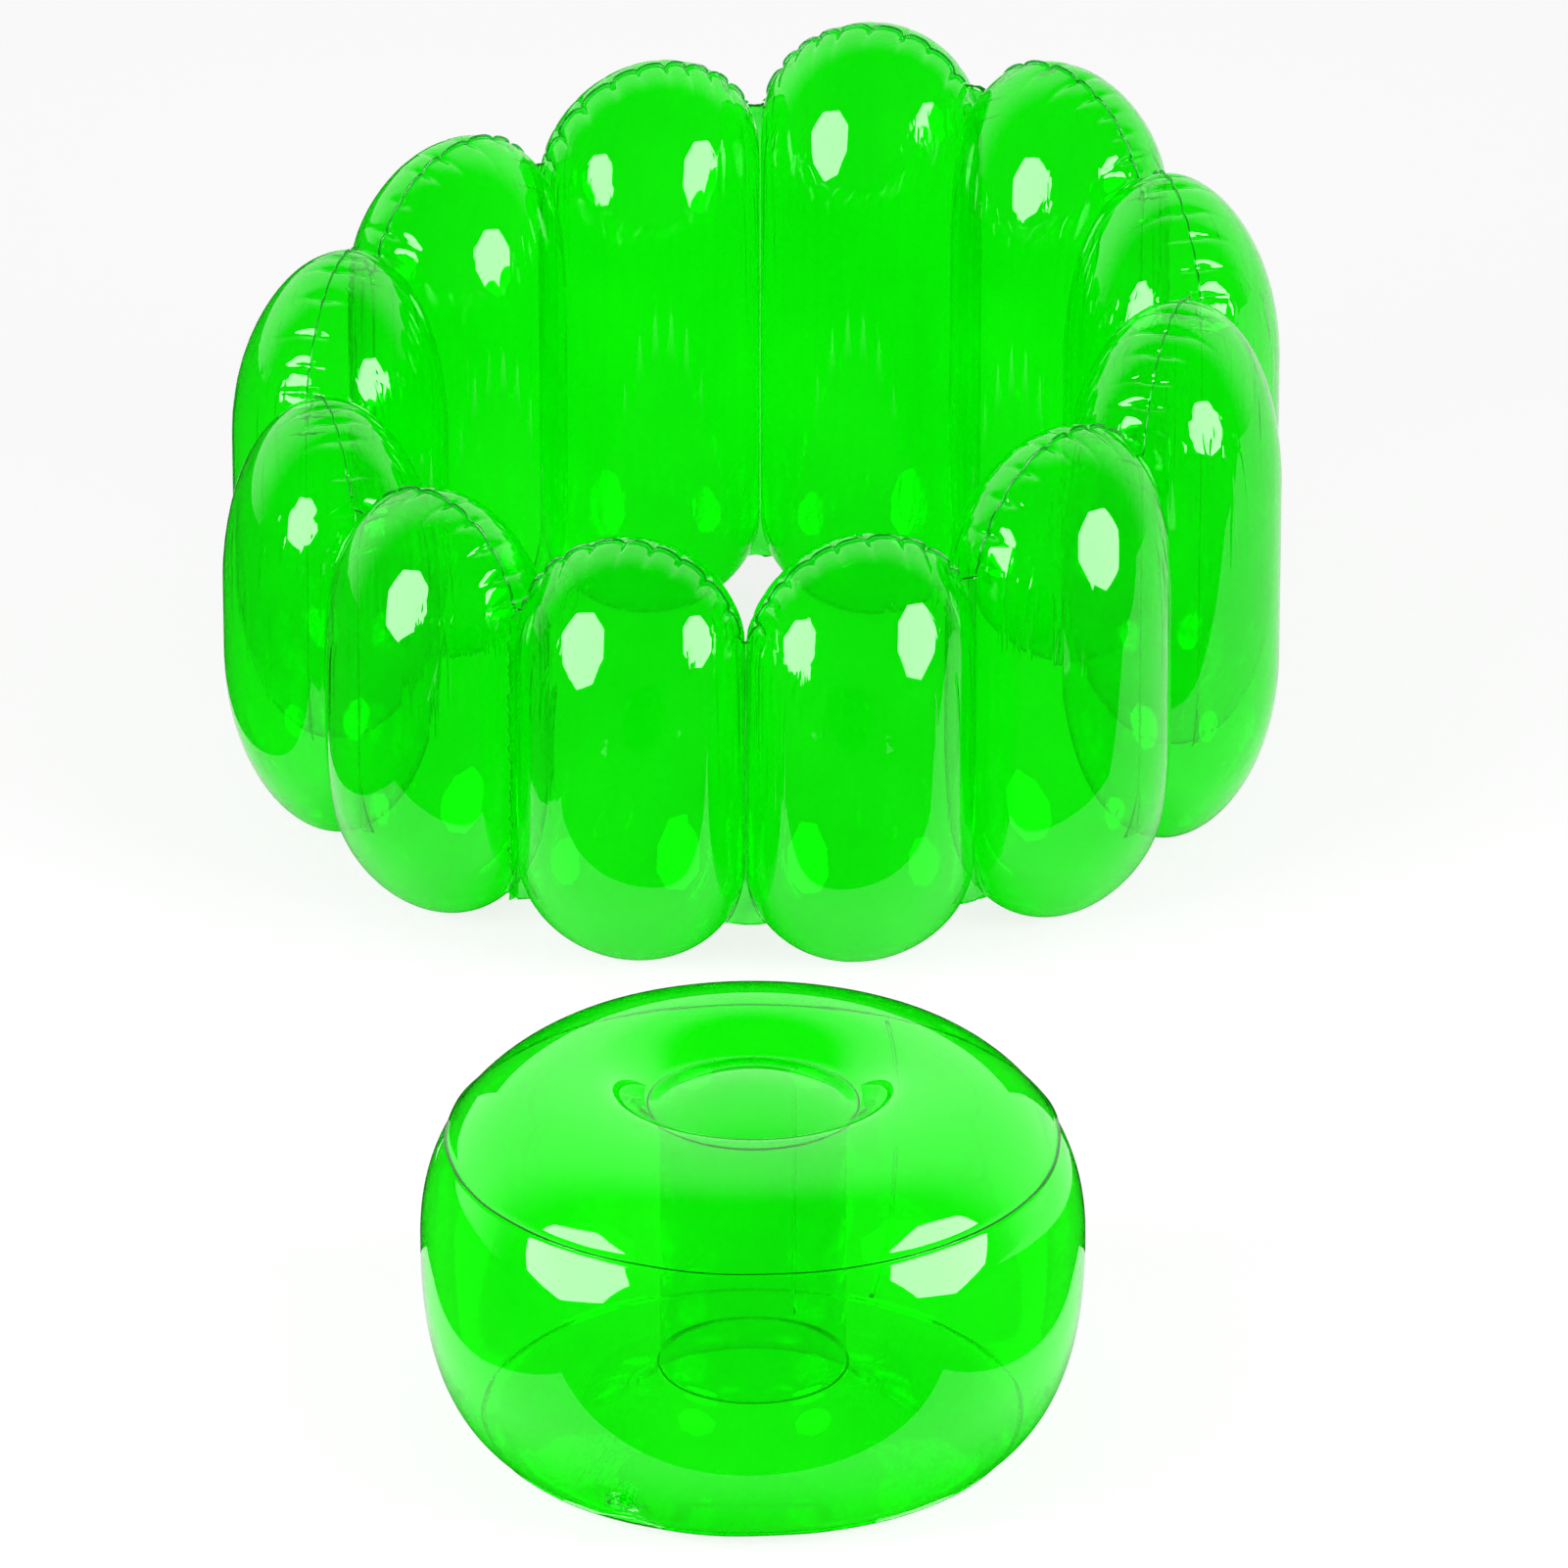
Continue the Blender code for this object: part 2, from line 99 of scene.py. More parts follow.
def addCamera(view):
    pickNone()
    bpy.ops.object.camera_add()
    camera = bpy.context.object
    camera.name = "photoCamera"
    back = Vector((0, -math.cos(view["elevation"]), math.sin(view["elevation"])))
    camera.location = Vector(view["target"]) + back * view["distance"]
    camera.data.sensor_width = view["sensor"]
    camera.data.lens = view["focalPixels"] / view["framePixels"] * view["sensor"]
    camera.data.clip_end = 100
    # the camera is turned a little past the target, so that the target lands on its own pixel
    middle = view["framePixels"] / 2
    sideways = math.atan((view["targetPixel"][0] - middle) / view["focalPixels"])
    upwards = math.atan((middle - view["targetPixel"][1]) / view["focalPixels"])
    look = (-back).to_track_quat("-Z", "Y").to_matrix()
    turn = Matrix.Rotation(sideways, 3, "Y") @ Matrix.Rotation(-upwards, 3, "X")
    camera.rotation_euler = (look @ turn).to_euler()
    scene.camera = camera


addCamera(cameraView)
print("camera placed")


# thickness of a film and of two films welded together, the gap left between pieces that touch, and
# what all vinyl has in common
vinyl = {
    "film": 0.0004,
    "weld": 0.0008,
    "gap": 0.0003,
    "ior": 1.5,
    # colour of the films' painted glow, a faint green emission
    "paintedGlowColour": (0.0, 1.0, 0.0, 1),
    "bump": 0.0008,
}

# colours and finishes of the vinyl, as it looks on a white ground. Each glow is a painted glow: a
# faint green emission that brightens the film, though it is no lamp
clearFilm = {
    "clouds": 5.0,
    "roughness": (0.010, 0.045),
    "waves": 0.16,
    "creases": 0.0,
    "glow": 0.015,
}
finishes = {
    "greenFilm": {
        **clearFilm,
        "tint": (0.06, 0.95, 0.045),
        "deepTint": (0.035, 0.87, 0.03),
        "creases": 1.0,
    },
    "greenSeat": {
        **clearFilm,
        "tint": (0.08, 0.975, 0.05),
        "deepTint": (0.04, 0.91, 0.03),
    },
    # painted shade: the tube is the seat's own film, tinted deeper to stand for its darker look
    # inside the seat
    "greenTubePaintedShade": {
        **clearFilm,
        "tint": (0.06, 0.89, 0.045),
        "deepTint": (0.04, 0.85, 0.03),
    },
    "greenWeb": {
        "tint": (0.06, 0.90, 0.06),
        "deepTint": (0.03, 0.72, 0.04),
        "clouds": 40.0,
        "roughness": (0.02, 0.09),
        "waves": 0.8,
        "creases": 0.0,
        "glow": 0.02,
    },
    "greenWeld": {
        "tint": (0.03, 0.55, 0.06),
        "deepTint": (0.01, 0.35, 0.04),
        "clouds": 60.0,
        "roughness": (0.03, 0.10),
        "waves": 0.6,
        "creases": 0.0,
        "glow": 0.01,
    },
    "greenValve": {
        "tint": (0.16, 0.95, 0.16),
        "deepTint": (0.08, 0.85, 0.08),
        "clouds": 90.0,
        "roughness": (0.05, 0.13),
        "waves": 0.2,
        "creases": 0.0,
        "glow": 0.02,
    },
}

# noise patterns of the vinyl's skin, with the part of a pattern's range that shows
pattern = {
    "clouds": {"Detail": 3.0, "Roughness": 0.5},
    "cloudRange": (0.35, 0.70),
    "smears": {"Scale": 26.0, "Detail": 4.0, "Roughness": 0.6},
    "waves": {"Scale": 16.0, "Detail": 1.0, "Roughness": 0.4},
    "creases": {"Scale": 95.0, "Detail": 1.5, "Roughness": 0.5},
    "creaseStretch": (1.0, 1.0, 0.045),
    "creaseRange": (0.54, 0.72),
}


def addNode(tree, kind, **values):
    node = tree.nodes.new(kind)
    for name, value in values.items():
        if name in node.inputs:
            node.inputs[name].default_value = value
        else:
            setattr(node, name, value)
    return node


def mathNode(tree, operation, first, second):
    node = addNode(tree, "ShaderNodeMath", operation=operation)
    for socket, value in zip(node.inputs, (first, second)):
        if isinstance(value, (int, float)):
            socket.default_value = value
        else:
            tree.links.new(value, socket)
    return node.outputs[0]


def rangeNode(tree, value, low, high, start=0.0, end=1.0, curve="SMOOTHSTEP"):
    # goes from start to end while the value goes from low to high
    limits = {"From Min": low, "From Max": high, "To Min": start, "To Max": end}
    node = addNode(tree, "ShaderNodeMapRange", interpolation_type=curve, **limits)
    tree.links.new(value, node.inputs["Value"])
    return node.outputs["Result"]


def colourMix(tree, share, first, second):
    # sockets 6 and 7 are the two colours, 2 the mixed one
    node = addNode(tree, "ShaderNodeMix", data_type="RGBA")
    tree.links.new(share, node.inputs[0])
    for socket, value in zip((node.inputs[6], node.inputs[7]), (first, second)):
        if isinstance(value, tuple):
            socket.default_value = value
        else:
            tree.links.new(value, socket)
    return node.outputs[2]


def vinylSurface():
    # cloudy colour, smears and slight waves of soft clear vinyl, and fine upright creases if asked
    group = bpy.data.node_groups.new("vinylSurface", "ShaderNodeTree")
    asked = {
        "Tint": "NodeSocketColor",
        "Deep Tint": "NodeSocketColor",
        "Clouds": "NodeSocketFloat",
        "Smooth": "NodeSocketFloat",
        "Rough": "NodeSocketFloat",
        "Waves": "NodeSocketFloat",
        "Creases": "NodeSocketFloat",
    }
    for name, kind in asked.items():
        group.interface.new_socket(name, in_out="INPUT", socket_type=kind)
    group.interface.new_socket("Colour", in_out="OUTPUT", socket_type="NodeSocketColor")
    group.interface.new_socket("Roughness", in_out="OUTPUT", socket_type="NodeSocketFloat")
    group.interface.new_socket("Height", in_out="OUTPUT", socket_type="NodeSocketFloat")
    given = addNode(group, "NodeGroupInput")
    out = addNode(group, "NodeGroupOutput")
    place = addNode(group, "ShaderNodeTexCoord").outputs["Object"]
    links = group.links

    clouds = addNode(group, "ShaderNodeTexNoise", **pattern["clouds"])
    links.new(place, clouds.inputs["Vector"])
    links.new(given.outputs["Clouds"], clouds.inputs["Scale"])
    cloudShare = rangeNode(group, clouds.outputs["Fac"], *pattern["cloudRange"], curve="LINEAR")
    shown = colourMix(group, cloudShare, given.outputs["Tint"], given.outputs["Deep Tint"])
    links.new(shown, out.inputs["Colour"])

    smears = addNode(group, "ShaderNodeTexNoise", **pattern["smears"])
    links.new(place, smears.inputs["Vector"])
    spread = mathNode(group, "SUBTRACT", given.outputs["Rough"], given.outputs["Smooth"])
    smeared = mathNode(group, "MULTIPLY", smears.outputs["Fac"], spread)
    rough = mathNode(group, "ADD", given.outputs["Smooth"], smeared)
    links.new(rough, out.inputs["Roughness"])

    waves = addNode(group, "ShaderNodeTexNoise", **pattern["waves"])
    links.new(place, waves.inputs["Vector"])
    waved = mathNode(group, "MULTIPLY", waves.outputs["Fac"], given.outputs["Waves"])
    upright = addNode(group, "ShaderNodeMapping", Scale=pattern["creaseStretch"])
    links.new(place, upright.inputs["Vector"])
    lines = addNode(group, "ShaderNodeTexNoise", **pattern["creases"])
    links.new(upright.outputs["Vector"], lines.inputs["Vector"])
    ridge = rangeNode(group, lines.outputs["Fac"], *pattern["creaseRange"])
    creased = mathNode(group, "MULTIPLY", ridge, given.outputs["Creases"])
    links.new(mathNode(group, "ADD", waved, creased), out.inputs["Height"])
    return group


def vinylMaterial(name, look, skin):
    material = bpy.data.materials.new(name)
    material.use_nodes = True
    tree = material.node_tree
    shader = tree.nodes["Principled BSDF"]
    shader.inputs["IOR"].default_value = vinyl["ior"]
    shader.inputs["Transmission Weight"].default_value = 1.0
    # painted glow: the film gives off a faint green light of its own, though it is no lamp
    shader.inputs["Emission Color"].default_value = vinyl["paintedGlowColour"]
    shader.inputs["Emission Strength"].default_value = look["glow"]
    surface = addNode(tree, "ShaderNodeGroup", node_tree=skin)
    surface.inputs["Tint"].default_value = (*look["tint"], 1)
    surface.inputs["Deep Tint"].default_value = (*look["deepTint"], 1)
    surface.inputs["Clouds"].default_value = look["clouds"]
    surface.inputs["Smooth"].default_value = look["roughness"][0]
    surface.inputs["Rough"].default_value = look["roughness"][1]
    surface.inputs["Waves"].default_value = look["waves"]
    surface.inputs["Creases"].default_value = look["creases"]
    if look["creases"]:
        mask = addNode(tree, "ShaderNodeAttribute", attribute_name="creases")
        tree.links.new(mask.outputs["Fac"], surface.inputs["Creases"])
    bump = addNode(tree, "ShaderNodeBump", Distance=vinyl["bump"], Strength=1.0)
    tree.links.new(surface.outputs["Height"], bump.inputs["Height"])
    tree.links.new(bump.outputs["Normal"], shader.inputs["Normal"])
    tree.links.new(surface.outputs["Colour"], shader.inputs["Base Color"])
    tree.links.new(surface.outputs["Roughness"], shader.inputs["Roughness"])
    return material


skin = vinylSurface()
materials = {name: vinylMaterial(name, look, skin) for name, look in finishes.items()}


def dress(piece, name):
    piece.data.materials.clear()
    piece.data.materials.append(materials[name])


for name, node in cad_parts.items():
    if "valve" in name:
        dress(node, "greenValve")
print("materials made")

# a petal stands on its weld plane: x runs along the plane, y out of the ring and z up
ring = {
    "count": 12,
    "centreY": 0.601864,
    "apothem": 0.430,
    "turn": math.radians(16),
    "halfWidth": 0.1135,
    "halfDepth": 0.108,
    "bottomWidthEnd": 0.105,
    "bottomDepthEnd": 0.190,
    "topWidthEnd": 0.115,
    "topDepthEnd": 0.185,
    "footCut": 0.0005,
    "leanShare": 0.6,
    "leanReach": 0.20,
    "leanTop": 0.03,
    "contactGap": 0.0005,
    "contactSoftness": 0.0025,
}
pitchAngle = 2 * math.pi / ring["count"]
cornerHalfWidth = ring["apothem"] * math.tan(pitchAngle / 2)
petalNames = [f"petal_{number:02d}" for number in range(1, ring["count"] + 1)]
petalTops = [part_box(name)[1].z for name in petalNames]


def petalTop(number):
    return petalTops[(number - 1) % ring["count"]]


def petalPlace(number):
    return (
        Matrix.Translation((0, ring["centreY"], 0))
        @ Matrix.Rotation((number - 1) * pitchAngle - ring["turn"], 4, "Z")
        @ Matrix.Translation((0, ring["apothem"], 0))
    )


def fullness(height, top, bottomEnd, topEnd):
    nearest = min((height + ring["footCut"]) / bottomEnd, (top - height) / topEnd, 1.0)
    return math.sqrt(max(1 - (1 - max(nearest, 0.0)) ** 2, 0.0))


def halfWidthAt(height, top):
    return ring["halfWidth"] * fullness(height, top, ring["bottomWidthEnd"], ring["topWidthEnd"])


def halfDepthAt(height, top):
    return ring["halfDepth"] * fullness(height, top, ring["bottomDepthEnd"], ring["topDepthEnd"])


# welds over the crowns: the film gathers into puffs between pinched notches
crown = {
    "puffLength": 0.032,
    "puffUnevenness": 0.28,
    "puffHeight": 0.0062,
    "puffReach": (0.011, 0.024),
    "foldDepth": 0.0028,
    "foldWidth": 0.0028,
    "foldReach": 0.007,
    "puffExponent": 2.9,
    "reachExponent": 1.6,
    "depthLimit": 0.06,
    "pinchLeast": 0.65,
    "pinchSpread": 0.6,
    "fade": (0.80, 1.02),
    "fineReach": 1.15,
    "step": 0.0023,
    "seed": 40,
}


def halfOutline(top):
    # points of the weld line's right half, from the foot's middle up to the crown's top
    steps = 160
    points = [Vector((0.0, 0.0))]
    for step in range(steps + 1):
        angle = math.pi / 2 * step / steps
        height = ring["bottomWidthEnd"] * (1 - math.cos(angle)) - ring["footCut"]
        if height > 0:
            points.append(Vector((halfWidthAt(height, top), height)))
    for step in range(steps + 1):
        angle = math.pi / 2 * (1 - step / steps)
        height = top - ring["topWidthEnd"] * (1 - math.cos(angle))
        points.append(Vector((halfWidthAt(height, top), height)))
    return points


def alongLine(points, distances):
    # the points of a line at the given distances from its start
    lengths = [0.0]
    for before, here in zip(points, points[1:]):
        lengths.append(lengths[-1] + (here - before).length)
    found, index = [], 1
    for distance in distances:
        while index < len(points) - 1 and lengths[index] < distance:
            index += 1
        span = lengths[index] - lengths[index - 1]
        share = (distance - lengths[index - 1]) / span if span > 0 else 0.0
        found.append(points[index - 1].lerp(points[index], min(max(share, 0.0), 1.0)))
    return found


def lineLength(points):
    return sum((here - before).length for before, here in zip(points, points[1:]))


petalMesh = {
    "around": 264,
    "across": 60,
    "fineRings": 12,
    "fineStep": 0.0165,
    "middleStep": 0.004,
    "middleDepth": 1.0,
    "creasesBelow": (0.05, 0.11),
    "creasesAbove": (0.14, 0.30),
    "creasesBeside": (0.25, 0.7),
}


def weldLine(number):
    # the whole weld line of one petal as rows of (point, outward, distance from the crown's top),
    # and how far the crown reaches to either side of its top
    top = petalTop(number)
    half = halfOutline(top)
    length = lineLength(half)
    crownHalf = 0.0
    for before, here in zip(half, half[1:]):
        if before.y > top - ring["topWidthEnd"] * crown["fineReach"]:
            crownHalf += (here - before).length
    count = petalMesh["around"] // 2
    fine = int(crownHalf / crown["step"])
    coarse = count - fine
    straight = length - crownHalf
    distances = [straight * share / coarse for share in range(coarse)]
    distances += [straight + crownHalf * share / fine for share in range(fine + 1)]
    right = alongLine(half, distances)
    points = right + [Vector((-point.x, point.y)) for point in reversed(right[1:-1])]
    signed = [distance - length for distance in distances]
    signed += [length - distance for distance in reversed(distances[1:-1])]
    rows = []
    for index, point in enumerate(points):
        before, after = points[index - 1], points[(index + 1) % len(points)]
        along = (after - before).normalized()
        rows.append((point, Vector((along.y, -along.x)), signed[index]))
    return rows, crownHalf


def notchesOf(number, crownHalf):
    # places of the pinched notches, measured from the crown's top
    chance = random.Random(crown["seed"] + number)
    reach = crownHalf * crown["fade"][1]
    places, place = [], -reach - chance.random() * crown["puffLength"]
    while place < reach + crown["puffLength"]:
        uneven = 1 + crown["puffUnevenness"] * (chance.random() * 2 - 1)
        reachHere = mix(*crown["puffReach"], chance.random())
        pinch = crown["pinchLeast"] + crown["pinchSpread"] * chance.random()
        places.append((place, reachHere, pinch))
        place += crown["puffLength"] * uneven
    return places


def puffAt(distance, depth, notches, crownHalf):
    # how far the film stands in from its smooth shape, this far along the weld and away from it
    strength = 1 - smoothStep(*crown["fade"], abs(distance) / crownHalf)
    if strength <= 0 or depth > crown["depthLimit"]:
        return 0.0
    for left, right in zip(notches, notches[1:]):
        if left[0] <= distance < right[0]:
            share = (distance - left[0]) / (right[0] - left[0])
            nearer = left if share < 0.5 else right
            reach = mix(left[1], right[1], share)
            puff = math.sqrt(max(1 - abs(2 * share - 1) ** crown["puffExponent"], 0.0))
            sag = crown["puffHeight"] * mix(left[2], right[2], share) * (1 - puff)
            sag *= math.exp(-((depth / reach) ** crown["reachExponent"]))
            away = abs(distance - nearer[0])
            bell = depth / crown["foldReach"] * math.exp(1 - depth / crown["foldReach"])
            fold = crown["foldDepth"] * nearer[2] * math.exp(-away / crown["foldWidth"]) * bell
            return -(sag + fold) * strength
    return 0.0


def ringAngle(step):
    # angle of a ring of points from the weld, close together near it and wider apart in the middle
    fine = petalMesh["fineRings"]
    if step <= fine:
        return step * petalMesh["fineStep"]
    start = fine * petalMesh["fineStep"]
    share = (step - fine) / (petalMesh["across"] // 2 - fine)
    return start + (math.pi / 2 - start) * (0.5 * share + 0.5 * share * share)


def leanOf(number):
    # a crown rises a little towards its taller neighbour
    span = 4 * cornerHalfWidth
    return ring["leanShare"] * (petalTop(number - 1) - petalTop(number + 1)) / span


def leanShare(height, top):
    return smoothStep(top - ring["leanReach"], top - ring["leanTop"], height)


def leaned(point, top, lean):
    return Vector((point.x, point.y, point.z + lean * point.x * leanShare(point.z, top)))


def pressed(point):
    # a petal lies flat against its neighbours where they touch
    side = math.copysign(1.0, point.x)
    over = (abs(point.x) - cornerHalfWidth) * math.cos(pitchAngle / 2)
    over += -point.y * math.sin(pitchAngle / 2) + ring["contactGap"]
    softness = ring["contactSoftness"]
    if over < -softness:
        return point
    push = over if over > softness else (over + softness) ** 2 / (4 * softness)
    return Vector((point.x - side * push / math.cos(pitchAngle / 2), point.y, point.z))


def closeMiddles(petal, lattice, poles, top):
    # a ladder of faces with a line of points down its centre closes each side's long middle, in
    # place of the fan round the sphere's pole. Returns how many points are new.
    count = petalMesh["around"] // 2
    last = petalMesh["across"] // 2 - 1
    before = len(petal.data.vertices)
    cage = bmesh.new()
    cage.from_mesh(petal.data)
    cage.verts.ensure_lookup_table()
    sides = []
    for side, pole in poles.items():
        loop = [cage.verts[lattice[side * last, row]] for row in range(2 * count)]
        sides.append((side, loop, cage.verts[pole]))
    for side, loop, pole in sides:
        bmesh.ops.delete(cage, geom=list(pole.link_edges), context="EDGES_FACES")
        spare = [pole]
        middles = [loop[0]]
        for row in range(1, count):
            height = loop[row].co.z
            if loop[count].co.z - height < petalMesh["middleStep"]:
                middle = loop[count]
            elif height - middles[-1].co.z < petalMesh["middleStep"]:
                middle = middles[-1]
            else:
                middle = spare.pop() if spare else cage.verts.new()
                middle.co = (0, -side * halfDepthAt(height, top), height)
            middles.append(middle)
        middles.append(loop[count])
        mirrored = [loop[-row] for row in range(count + 1)]
        for edge in (loop, mirrored):
            for row in range(count):
                corners = (edge[row], edge[row + 1], middles[row + 1], middles[row])
                corners = list(dict.fromkeys(corners))
                if len(corners) > 2:
                    cage.faces.new(corners)
    bmesh.ops.recalc_face_normals(cage, faces=cage.faces)
    cage.to_mesh(petal.data)
    cage.free()
    return len(petal.data.vertices) - before


def addPetal(number):
    name = petalNames[number - 1]
    top = petalTop(number)
    rows, crownHalf = weldLine(number)
    notches = notchesOf(number, crownHalf)
    around, across = petalMesh["around"], petalMesh["across"]
    pickNone()
    bpy.ops.mesh.primitive_uv_sphere_add(segments=around, ring_count=across, radius=1.0)
    petal = bpy.context.object
    petal.name = "film_" + name
    spineLow, spineHigh = ring["bottomDepthEnd"], top - ring["topDepthEnd"]
    along, depths, creases = [], [], []
    lattice, poles = {}, {}
    for vertex in petal.data.vertices:
        upright = math.asin(max(-1.0, min(1.0, vertex.co.z)))
        step = round(upright / (math.pi / across))
        place = round(math.atan2(vertex.co.y, vertex.co.x) / (2 * math.pi / around)) % around
        row = (place + around // 4) % around
        point, _, distance = rows[row]
        if abs(step) == across // 2:
            poles[1 if step > 0 else -1] = vertex.index
        else:
            lattice[step, row] = vertex.index
        share = math.cos(ringAngle(abs(step)))
        x = point.x * share
        z = mix(min(max(point.y, spineLow), spineHigh), point.y, share)
        width = halfWidthAt(z, top)
        edge = math.sqrt(max(1 - (x / width) ** 2, 0.0)) if width > 0 else 0.0
        y = halfDepthAt(z, top) * edge if step else 0.0
        vertex.co = (x, -math.copysign(y, step), max(z, 0.0))
        along.append(distance)
        depths.append((Vector((point.x, 0, point.y)) - vertex.co).length)
        level = smoothStep(*petalMesh["creasesBelow"], top - z)
        level *= 1 - smoothStep(*petalMesh["creasesAbove"], top - z)
        beside = smoothStep(*petalMesh["creasesBeside"], abs(x) / ring["halfWidth"])
        creases.append(level * beside)
    added = closeMiddles(petal, lattice, poles, top)
    along += [0.0] * added
    depths += [petalMesh["middleDepth"]] * added
    creases += [0.0] * added
    petal.data.update()
    petal.data.attributes.new("creases", "FLOAT", "POINT").data.foreach_set("value", creases)
    normals = [vertex.normal.copy() for vertex in petal.data.vertices]
    lean = leanOf(number)
    place = petalPlace(number)
    for vertex, normal, distance, depth in zip(petal.data.vertices, normals, along, depths):
        moved = vertex.co + normal * puffAt(distance, depth, notches, crownHalf)
        moved = leaned(pressed(moved), top, lean)
        if name in valveSeats:
            moved = valveSeats[name](moved)
        vertex.co = place @ moved
    filmWall(petal, vinyl["film"], -1)
    bpy.ops.object.shade_smooth()
    dress(petal, "greenFilm")
    if name in valveHoles:
        cutHole(petal, *valveHoles[name])
    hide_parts(name)
    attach(petal, "ring")
    return petal


# where the valves go through the film: the film lies flat under the flange
valve = {
    "flat": 0.020,
    "blend": 0.046,
    "hole": 0.0103,
    "holeSides": 40,
    "cutterDepth": 0.03,
    "facetDepth": 0.10529,
    "height": 0.215,
    "outerHalf": 0.05,
    "seatReach": 0.04,
}


def ringValveSeat(point):
    away = math.hypot(point.x, point.z - valve["height"])
    if point.y < valve["outerHalf"] or away > valve["blend"]:
        return point
    share = 1 - smoothStep(valve["flat"], valve["blend"], away)
    return Vector((point.x, mix(point.y, valve["facetDepth"], share), point.z))


valveSeats = {"petal_12": ringValveSeat}
valveHoles = {
    "petal_12": (
        petalPlace(12)
        @ Matrix.Translation((0, valve["facetDepth"], valve["height"]))
        @ Matrix.Rotation(-math.pi / 2, 4, "X"),
    )
}


def cutHole(piece, place):
    pickNone()
    bpy.ops.mesh.primitive_cylinder_add(
        vertices=valve["holeSides"], radius=valve["hole"], depth=valve["cutterDepth"]
    )
    cutter = bpy.context.object
    cutter.data.transform(place)
    pick(piece)
    cut = piece.modifiers.new("valveHole", "BOOLEAN")
    cut.operation = "DIFFERENCE"
    cut.solver = "EXACT"
    cut.object = cutter
    applyAll(piece)
    bpy.data.objects.remove(cutter)


petals = [addPetal(number) for number in range(1, ring["count"] + 1)]
print("petals made:", sum(len(petal.data.polygons) for petal in petals), "faces")


def gridPiece(name, rows, columns, placeOf):
    # a sheet of rows by columns points, each put in its place by placeOf(row, column)
    pickNone()
    bpy.ops.mesh.primitive_grid_add(x_subdivisions=columns - 1, y_subdivisions=rows - 1, size=2)
    piece = bpy.context.object
    piece.name = name
    for vertex in piece.data.vertices:
        column = round((vertex.co.x + 1) / 2 * (columns - 1))
        row = round((vertex.co.y + 1) / 2 * (rows - 1))
        vertex.co = placeOf(row, column)
    piece.data.update()
    return piece


def joined(name, pieces):
    pickNone()
    for piece in pieces:
        piece.select_set(True)
    bpy.context.view_layer.objects.active = pieces[0]
    bpy.ops.object.join()
    pieces[0].name = name
    return pieces[0]


# margins between and over the petals: a creased web in each valley and a narrow fin over each crown
web = {
    "bottom": 0.045,
    "usualTopDrop": 0.052,
    "topDrop": {7: 0.092, 6: 0.085},
    "rows": 90,
    "columns": 9,
    "crease": 0.0022,
    "creasePitch": (3.1, 9, 5.3),
    "creaseFrom": 0.03,
    "frill": 0.002,
    "frillPitch": (4, 3.7),
    "finWidth": 0.0028,
    "finWave": 0.0010,
    "finPitch": (60, 2.9),
    "finOverlap": 0.0004,
}


def webTop(number):
    # height of the web between this petal and the next
    drop = web["topDrop"].get(number, web["usualTopDrop"])
    return min(petalTop(number), petalTop(number + 1)) - drop


def edgeAt(number, height, side):
    # the petal's weld line at this height on its +x or -x side, as a point on its own weld plane
    top = petalTop(number)
    lean = leanOf(number)
    low = height
    for _ in range(12):
        width = halfWidthAt(low, top)
        low = height - lean * side * width * leanShare(low, top)
    return Vector((side * (halfWidthAt(low, top) + vinyl["gap"]), 0, height))


def addMargin(number):
    following = number % ring["count"] + 1
    here, beyond = petalPlace(number), petalPlace(following)
    low, high = web["bottom"], webTop(number)
    corner = here @ Vector((-cornerHalfWidth, 0, 0))
    outward = Vector((corner.x, corner.y - ring["centreY"], 0)).normalized()

    def webPlace(row, column):
        share = row / (web["rows"] - 1)
        height = mix(low, high, share)
        start = here @ edgeAt(number, height, -1)
        end = beyond @ edgeAt(following, height, 1)
        bend = Vector((corner.x, corner.y, height))
        across = column / (web["columns"] - 1)
        point = start.lerp(bend, across * 2) if across < 0.5 else bend.lerp(end, across * 2 - 1)
        width = (end - start).length
        pitch = web["creasePitch"]
        wave = noise.noise(Vector((across * pitch[0], height * pitch[1], number * pitch[2])))
        free = math.sin(math.pi * across) * min(width / web["creaseFrom"], 1.0)
        point += outward * web["crease"] * 2 * wave * free
        if row == 0 or row == web["rows"] - 1:
            pitch = web["frillPitch"]
            frill = noise.noise(Vector((across * pitch[0], number * pitch[1], row)))
            point.z += web["frill"] * frill
        return point

    webPiece = gridPiece("web", web["rows"], web["columns"], webPlace)
    dress(webPiece, "greenWeb")

    rows, crownHalf = weldLine(number)
    top = petalTop(number)
    notches = notchesOf(number, crownHalf)
    lean = leanOf(number)
    startHeight, endHeight = webTop(number), webTop((number - 2) % ring["count"] + 1)
    path = []
    for point, normal, distance in rows:
        moved = leaned(Vector((point.x, 0, point.y)), top, lean)
        limit = startHeight if point.x < 0 else endHeight
        if point.y > top / 2 and moved.z > limit + web["finOverlap"]:
            path.append((point, normal, distance))
    path.sort(key=lambda row: row[2])

    def finPlace(row, column):
        point, normal, distance = path[row]
        sag = puffAt(distance, 0.0, notches, crownHalf)
        out = sag + vinyl["gap"] + web["finWidth"] * column / 2
        pitch = web["finPitch"]
        wave = noise.noise(Vector((distance * pitch[0], number * pitch[1], 0.0)))
        flat = point + normal * out
        aside = web["finWave"] * 2 * wave * column / 2
        return here @ leaned(Vector((flat.x, aside, flat.y)), top, lean)

    finPiece = gridPiece("fin", len(path), 3, finPlace)
    dress(finPiece, "greenWeld")
    margin = joined(f"weld_{number:02d}", [webPiece, finPiece])
    filmWall(margin, vinyl["weld"], 0)
    bpy.ops.object.shade_smooth()
    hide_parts(f"weld_margin_{number:02d}")
    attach(margin, "ring")


for number in range(1, ring["count"] + 1):
    addMargin(number)
print("weld margins made")

